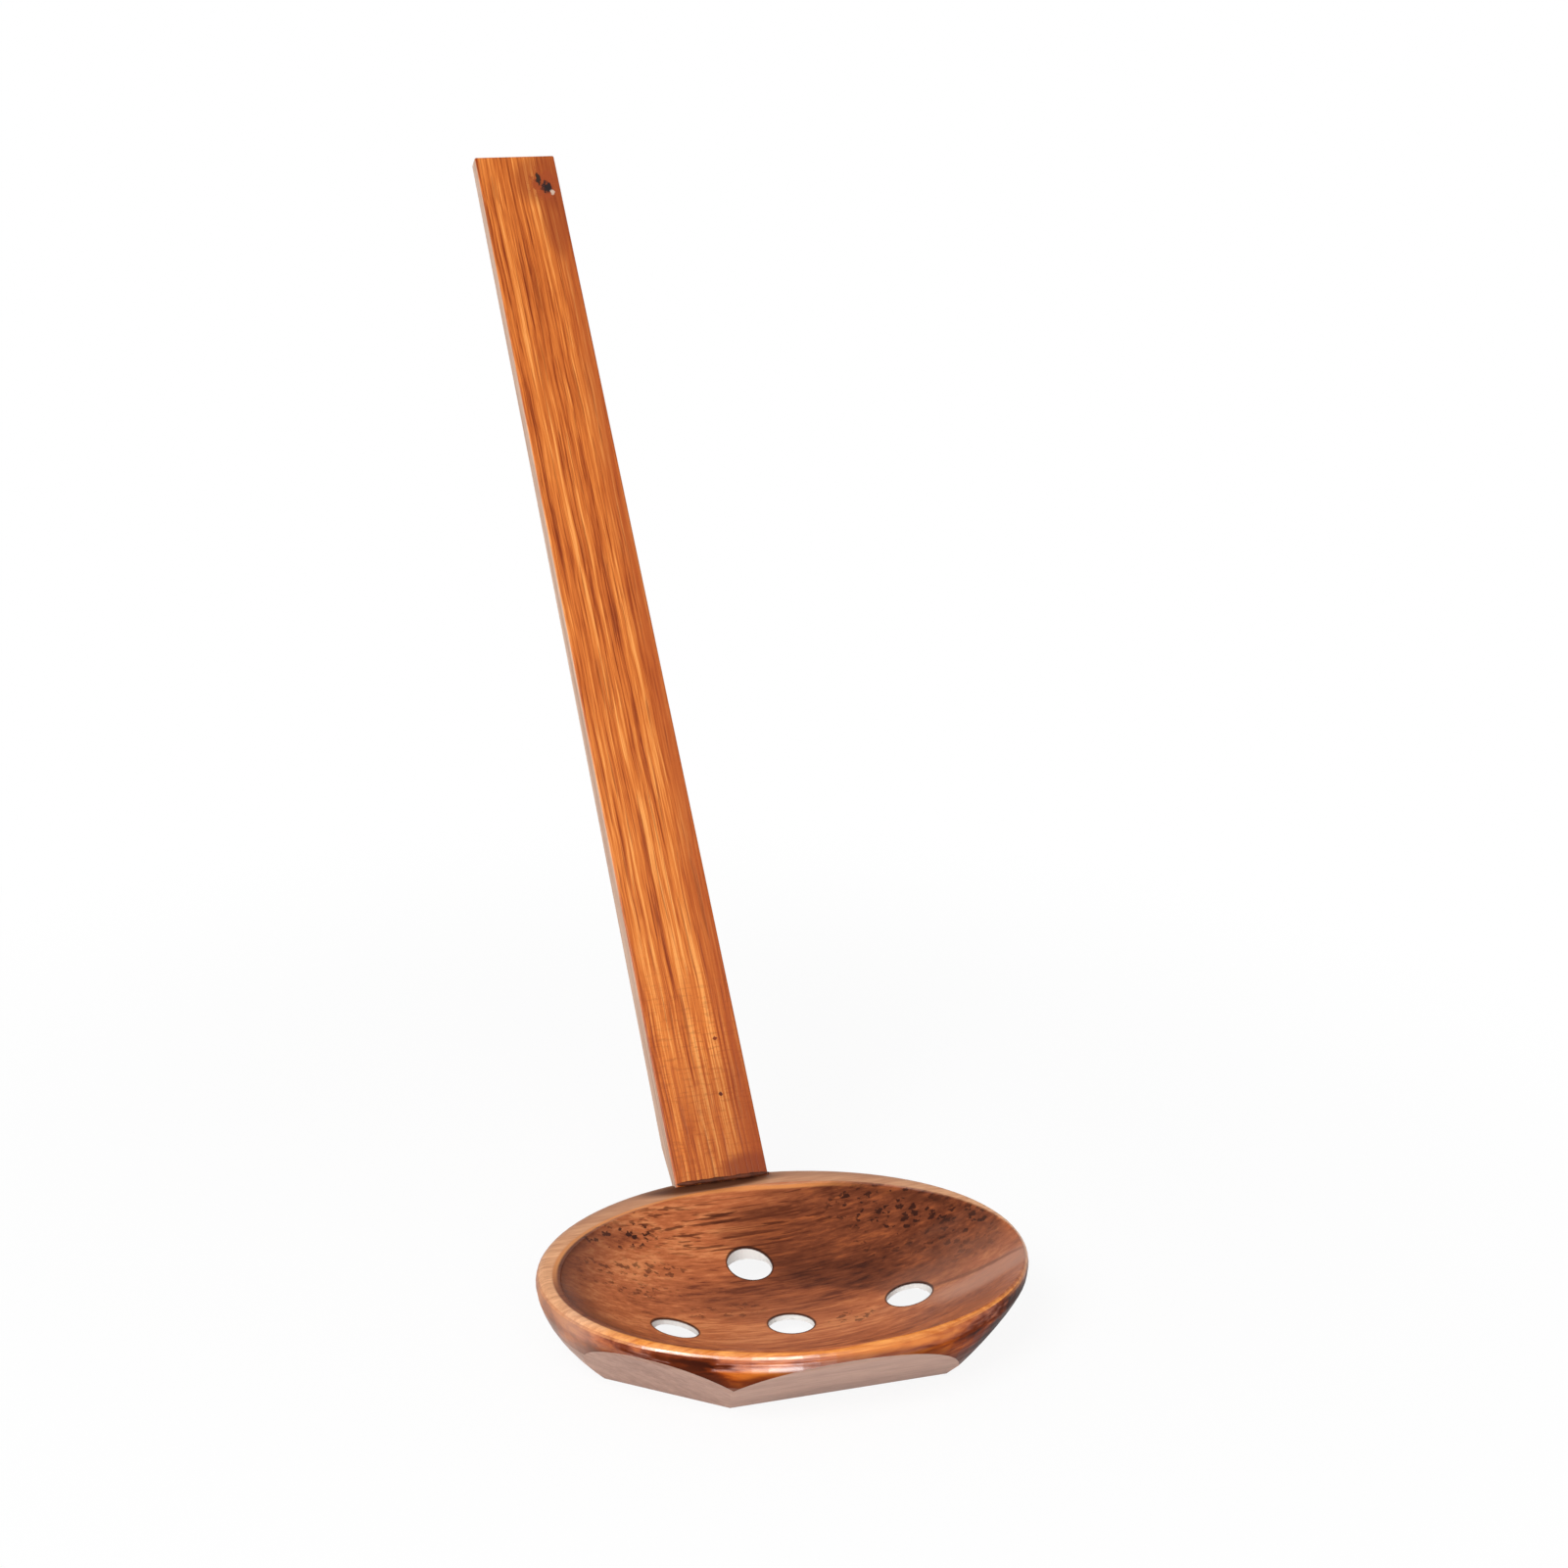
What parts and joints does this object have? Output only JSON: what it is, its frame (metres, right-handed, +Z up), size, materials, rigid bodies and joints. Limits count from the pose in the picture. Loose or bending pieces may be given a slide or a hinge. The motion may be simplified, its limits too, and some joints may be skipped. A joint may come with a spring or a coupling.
{
  "type": "ramen spoon",
  "caption": "Perforated wooden ramen spoon: oval dished bowl with a faceted foot, and a long slanted slat handle glued into its rear wall.",
  "frame": {"origin": "centre of the bounding box's base, on the plane of the foot", "axes": "+Z up from the foot, +Y from the bowl towards the handle's end, +X across the bowl to the right when seen from the front"},
  "size_m": [0.086, 0.2116, 0.1843],
  "materials": {
    "bowl": "clear gloss lacquer over dark open-pored wood",
    "handle": "satin lacquer over straight-grained pale wood",
    "glue": "set dark brown glue"
  },
  "bodies": {
    "root": {"bowl": "bowl", "handle": "handle", "glue_bed": "glue", "glue_seam": "glue"}
  },
  "joints": []
}
